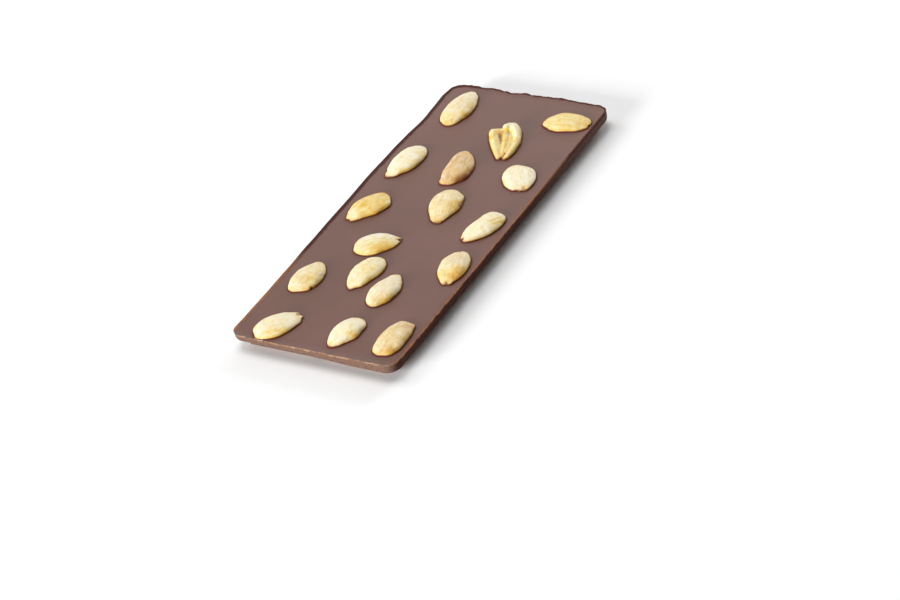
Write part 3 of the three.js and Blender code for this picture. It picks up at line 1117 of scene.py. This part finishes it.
# %% Roast
# How roasted each almond is, and its patches: x, y, radius and how much more or less roasted
ROAST = {
    "almond_01": (0.25, [(-17.9, 62, 2.2, 0.4), (-18.6, 67.1, 2, 0.2), (-23, 56.4, 4, 0.2),
        (-24, 76, 4, -0.15)]),
    "almond_02": (0.41, [(34.1, 68, 1.8, 0.2), (27.9, 62.5, 4, 0.08)]),
    "almond_03": (0.4, [(5.5, 59, 3.2, -0.2), (9.4, 56.4, 3, -0.15), (-1.3, 56.5, 2, -0.1),
        (2, 54, 1.3, 0.3), (4.5, 54.2, 1.6, 0.2), (7.8, 50.2, 2.4, 0.2), (0.8, 50.5, 2, 0.15)]),
    "almond_04": (0.15, [(-22.1, 34.3, 1.8, 0.22), (-23.3, 23, 2.5, 0.2), (-21, 28, 2.2, 0.25),
        (-29.8, 18.8, 0.9, 0.4)]),
    "almond_05": (0.45, [(4.5, 29.7, 2.2, 0.35), (3.9, 26.3, 2.4, 0.4), (1.8, 23.4, 2.2, 0.3),
        (-7.8, 30, 1.8, -0.3), (-6.5, 22.5, 1.8, -0.4), (-8, 36, 1.8, -0.25)]),
    "almond_06": (0.14, [(30.2, 25.6, 0.7, 0.6), (30.6, 24.6, 0.7, 0.6), (32.3, 26.3, 0.6, 0.5),
        (32.7, 25.4, 0.6, 0.5)]),
    "almond_07": (0.5, [(-26.2, -1.2, 1.2, 0.25), (-27.4, -2.4, 1, 0.15), (-19.7, 0.8, 1.5, 0.15),
        (-18.9, -3, 4, 0.08), (-28.5, -7, 3.5, -0.25), (-18.3, 4.4, 1.8, -0.3)]),
    "almond_08": (0.3, [(9.4, 7.1, 3, 0.3), (10.7, 10.4, 1.6, 0.25), (7.9, -1.8, 1.6, 0.2)]),
    "almond_09": (0.21, [(28.8, 1.1, 0.6, 0.25), (29.3, 1.9, 0.6, 0.35), (29.8, 2.7, 0.6, 0.35),
        (30.3, 3.5, 0.6, 0.35), (30.8, 4.3, 0.6, 0.35), (31.3, 5, 0.6, 0.3), (31.1, 0.6, 0.6, 0.3),
        (31.5, 1.4, 0.7, 0.35), (32, 2.2, 0.7, 0.35), (32.5, 3, 0.7, 0.35), (33, 3.8, 0.7, 0.35),
        (33.3, 4.5, 0.6, 0.25), (21.5, -7.9, 0.8, 0.45)]),
    "almond_10": (0.33, [(-4.4, -22.2, 2.4, 0.3), (-2.4, -20.6, 1.8, 0.15), (-6.8, -24.2, 2.4, 0.25),
        (-14, -19, 2.2, -0.3), (-10, -16, 2.2, -0.3), (-5, -14.5, 2, -0.3)]),
    "almond_11": (0.26, [(32.4, -30.8, 2.8, 0.5), (33, -26.6, 2, 0.3), (27, -31, 3, 0.15),
        (31, -34.3, 0.9, 0.3)]),
    "almond_12": (0.24, [(-1.5, -36.2, 3, 0.15), (1, -41, 2, 0.2)]),
    "almond_13": (0.28, [(-22.2, -47.1, 3, 0.2), (-20.5, -51, 2, 0.2)]),
    "almond_14": (0.18, [(14.2, -50.6, 2.6, 0.4), (15.4, -47, 1.8, 0.25), (10.8, -51.2, 2.4, 0.2)]),
    "almond_15": (0.2, [(-19.7, -79.2, 2.4, 0.25), (-16, -76.7, 2.4, 0.22)]),
    "almond_16": (0.18, [(6.5, -77.4, 0.8, 0.5), (12.3, -71, 2.2, 0.25), (14.6, -71.8, 1.8, 0.25)]),
    "almond_17": (0.34, [(33, -75, 2.2, 0.35), (30.4, -76.8, 2.2, 0.25), (31.3, -61.4, 2.5, 0.15),
        (33.8, -68.5, 2, 0.15)]),
}
print("patches of roast:", sum(len(patches) for base, patches in ROAST.values()))

# %% Tan almonds, and painted shade in nicks
# The same for how tan, and only patches for the painted shade of nicks, cracks, creases and the cleft
TAN = {
    "almond_01": (0.1, [(-23, 70, 5, 0.2)]),
    "almond_05": (0.6, []),
    "almond_08": (0.2, []),
    "almond_11": (0.1, [(29, -21, 4, 0.35)]),
    "almond_13": (0.15, []),
    "almond_14": (0.2, []),
    "almond_17": (0.3, [(31.3, -61.4, 3, 0.4)]),
}
# Painted shade: dark patches in nicks, cracks, creases and the split almond's cleft
NICK_SHADE = {
    "almond_02": [(36.1, 68.1, 0.7, 1)],
    "almond_03": [(3, 53.2, 0.6, 0.8), (3.7, 52.2, 0.6, 1), (4.5, 51.1, 0.6, 1), (5.3, 50, 0.55, 0.9),
        (6.2, 48.7, 0.5, 0.5), (11.2, 40.2, 0.8, 1), (4, 55, 0.4, 0.4), (5.5, 54.4, 0.4, 0.4),
        (6.8, 54.3, 0.4, 0.4), (7.3, 55.3, 0.4, 0.3), (11.3, 50.5, 0.5, 0.8), (11.4, 48.7, 0.4, 0.5),
        (11.5, 46.8, 0.4, 0.5), (11.6, 44.9, 0.4, 0.5), (11.9, 42.9, 0.4, 0.5)],
    "almond_04": [(-31.1, 21.8, 0.5, 0.5)],
    "almond_05": [(4.8, 27, 1.3, 0.7), (3.5, 24.7, 1.8, 0.9), (1.6, 22.8, 1.2, 0.7)],
    "almond_06": [(28.5, 22.9, 1, 0.8), (30.4, 23.4, 0.7, 0.7)],
    "almond_08": [(10.6, 10.6, 0.5, 0.9), (11, 8.8, 0.5, 0.8)],
    "almond_09": [(23, -9.2, 0.6, 1)],
    "almond_10": [(-7, -17.4, 0.4, 0.3), (-4.5, -16.6, 0.4, 0.4), (-2.2, -16, 0.5, 0.7)],
    "almond_11": [(31, -34.3, 0.6, 0.5)],
    "almond_13": [(-18.9, -50.4, 0.8, 0.9), (-17.7, -47.1, 0.4, 0.3)],
}
print("dark patches:", sum(len(patches) for patches in NICK_SHADE.values()))

# %% Paint the almonds
SPLIT_ALMOND = (7, 50, -62)

for name, almond in almonds.items():
    x, y, turn = SIXTEEN_ALMONDS.get(name, SPLIT_ALMOND)[:3]
    paint_grain(almond, x, y, turn)
    paint(almond, "roast", *ROAST[name])
    paint(almond, "tan", *TAN.get(name, (0, [])))
    paint(almond, "dark", 0, NICK_SHADE.get(name, []))

# %% How roasted an almond is, and its colours
GOLDEN = [(0, "#f5eeda"), (0.2, "#f2e5bf"), (0.42, "#edd489"), (0.64, "#e6bd54"), (0.86, "#dba33c"),
          (1, "#a8692a")]
BROWNED = [(0, "#ead3b2"), (0.4, "#cfa884"), (0.7, "#ad7a48"), (1, "#6e3f1a")]


def roast_amount(material, roast, streaks, mottles):
    """How roasted the skin is: what is stored, more on steep sides for the roast and as painted warm shade,
    uneven by streaks and mottles.
    """
    normal = add_node(material, "NewGeometry", out="Normal")
    upwards = add_node(material, "SeparateXYZ", out="Z", Vector=normal)
    # Steep sides painted more golden: partly the roast, partly painted warm shade of the flanks
    steep = add_node(material, "MapRange", Value=upwards, From_Min=0.25, From_Max=0.85, To_Min=1, To_Max=0)
    toasted_and_shaded = add_node(material, "Math", MULTIPLY_ADD, i0=steep, i1=0.3, i2=roast)
    streaked = add_node(material, "Math", MULTIPLY_ADD, i0=streaks, i1=0.6, i2=-0.3)
    mottled = add_node(material, "Math", MULTIPLY_ADD, i0=mottles, i1=0.8, i2=-0.4)
    uneven = add_node(material, "Math", ADD, i0=streaked, i1=mottled)
    return add_node(material, "Math", {"operation": "ADD", "use_clamp": True}, i0=toasted_and_shaded, i1=uneven)


def almond_colour(material, place, tan, dark, amount):
    """Golden or tan by its roast, then golden at the foot as roast and painted warm shade, painted shade in
    nicks, and a dark line at the foot that is partly a smear and partly painted contact shade.
    """
    golden = add_node(material, "ValToRGB", {"stops": GOLDEN}, Fac=amount)
    browned = add_node(material, "ValToRGB", {"stops": BROWNED}, Fac=amount)
    shade = add_node(material, "Mix", COLOUR_MIX, 2, i0=tan, i6=golden, i7=browned)
    height = add_node(material, "SeparateXYZ", out="Z", Vector=place)
    # The foot painted golden: partly the roast, partly painted warm shade of the lower flanks
    low = add_node(material, "MapRange", Value=height, From_Min=BACK + mm(0.3), From_Max=BACK + mm(1.6),
                   To_Min=0.6, To_Max=0)
    # A dark red-brown line just above the back: partly a smear of chocolate, partly painted contact shade
    smear_and_contact_shade = add_node(material, "MapRange", Value=height, From_Min=BACK + mm(0.45), From_Max=BACK + mm(0.85),
                   To_Min=1, To_Max=0)
    for share, over in ((low, "#ecb850"), (dark, "#74390f"), (smear_and_contact_shade, "#6a2c0a")):
        shade = add_node(material, "Mix", COLOUR_MIX, 2, i0=share, i6=shade, i7=over)
    return shade


# %% Almond material
# The streaks' size is in mm, as the stored places are
STREAK_LENGTH = 6
STREAK_WIDTH = 0.8
MOTTLE_SIZE = mm(2.2)


def almond_material(name):
    material, shader = new_material(name)
    place = add_node(material, "TexCoord", out="Object")
    grain = add_node(material, "Attribute", {"attribute_name": "grain"}, "Vector")
    roast, tan, dark = (add_node(material, "Attribute", {"attribute_name": layer}, "Fac")
                        for layer in ("roast", "tan", "dark"))
    stretch = (1 / STREAK_LENGTH, 1 / STREAK_WIDTH, 1 / STREAK_WIDTH)
    stretched = add_node(material, "Mapping", Vector=grain, Scale=stretch)
    streaks = add_node(material, "TexNoise", Vector=stretched, Scale=1, Detail=3, Roughness=0.6)
    mottles = add_node(material, "TexNoise", Vector=place, Scale=1 / MOTTLE_SIZE, Detail=4, Roughness=0.65)
    amount = roast_amount(material, roast, streaks, mottles)
    relief = add_node(material, "Math", ADD, i0=streaks, i1=mottles)
    bump = add_node(material, "Bump", Strength=0.8, Distance=mm(0.25), Height=relief)
    fill(material, shader, Base_Color=almond_colour(material, place, tan, dark, amount), Normal=bump,
         Roughness=0.48, Subsurface_Weight=0.2, Subsurface_Radius=(1, 0.6, 0.2), Subsurface_Scale=mm(1))
    return material


roasted = almond_material("blanched roasted almond")
browned = almond_material("browned almond")
for name, almond in almonds.items():
    almond.data.materials.clear()
    almond.data.materials.append(browned if name == "almond_05" else roasted)
print("materials:", [material.name for material in bpy.data.materials])


# %% [markdown]
# ## Floor and light
#
# The floor is plain and pale. Five large lamps light the tablet softly: one overhead, the key from the
# left, a window at the far left that gives the back its grey sheen, a low one behind the far end, and a
# large strong one in front that brings out the front wall.

# %% Floor
bpy.ops.mesh.primitive_plane_add(size=6)
floor = bpy.context.object
floor.name = "floor"
floor_material, floor_shader = new_material("pale studio floor")
fill(floor_material, floor_shader, Base_Color="#ffffff", Roughness=0.9)
floor.data.materials.append(floor_material)

# %% Lights
# Each lamp's name, the direction that it stands in, its distance and size in metres, and its power
LAMPS = [
    ("overhead", (-0.2, 0.2, 1), 3, 1.8, 38),
    ("key", (-0.9, 0.1, 0.62), 3.2, 1.8, 28),
    ("window", (-0.5, 1, 0.55), 3, 2, 20),
    ("far side", (0.15, 1, 0.35), 3, 1.2, 36),
    ("front", (-0.35, -1, 0.22), 4, 2, 250),
]
WORLD_LIGHT = 0.06


def area_light(name, direction, distance, size, power):
    """A square lamp that shines at the tablet from a direction."""
    data = bpy.data.lights.new(name, "AREA")
    data.size = size
    data.energy = power
    lamp = bpy.data.objects.new(name, data)
    bpy.context.scene.collection.objects.link(lamp)
    away = Vector(direction).normalized()
    lamp.location = away * distance
    lamp.rotation_mode = "QUATERNION"
    lamp.rotation_quaternion = (-away).to_track_quat("-Z", "Y")


for lamp in LAMPS:
    area_light(*lamp)
world = bpy.data.worlds.new("studio")
world.use_nodes = True
background = world.node_tree.nodes["Background"]
background.inputs["Color"].default_value = (1, 1, 1, 1)
background.inputs["Strength"].default_value = WORLD_LIGHT
bpy.context.scene.world = world
bpy.context.scene.view_settings.view_transform = "Standard"
print("lamps:", len(LAMPS))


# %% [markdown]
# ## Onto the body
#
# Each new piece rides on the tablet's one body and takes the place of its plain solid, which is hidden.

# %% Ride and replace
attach(tablet, "root")
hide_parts("chocolate")
for node, almond in almonds.items():
    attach(almond, "root")
    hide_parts(node)
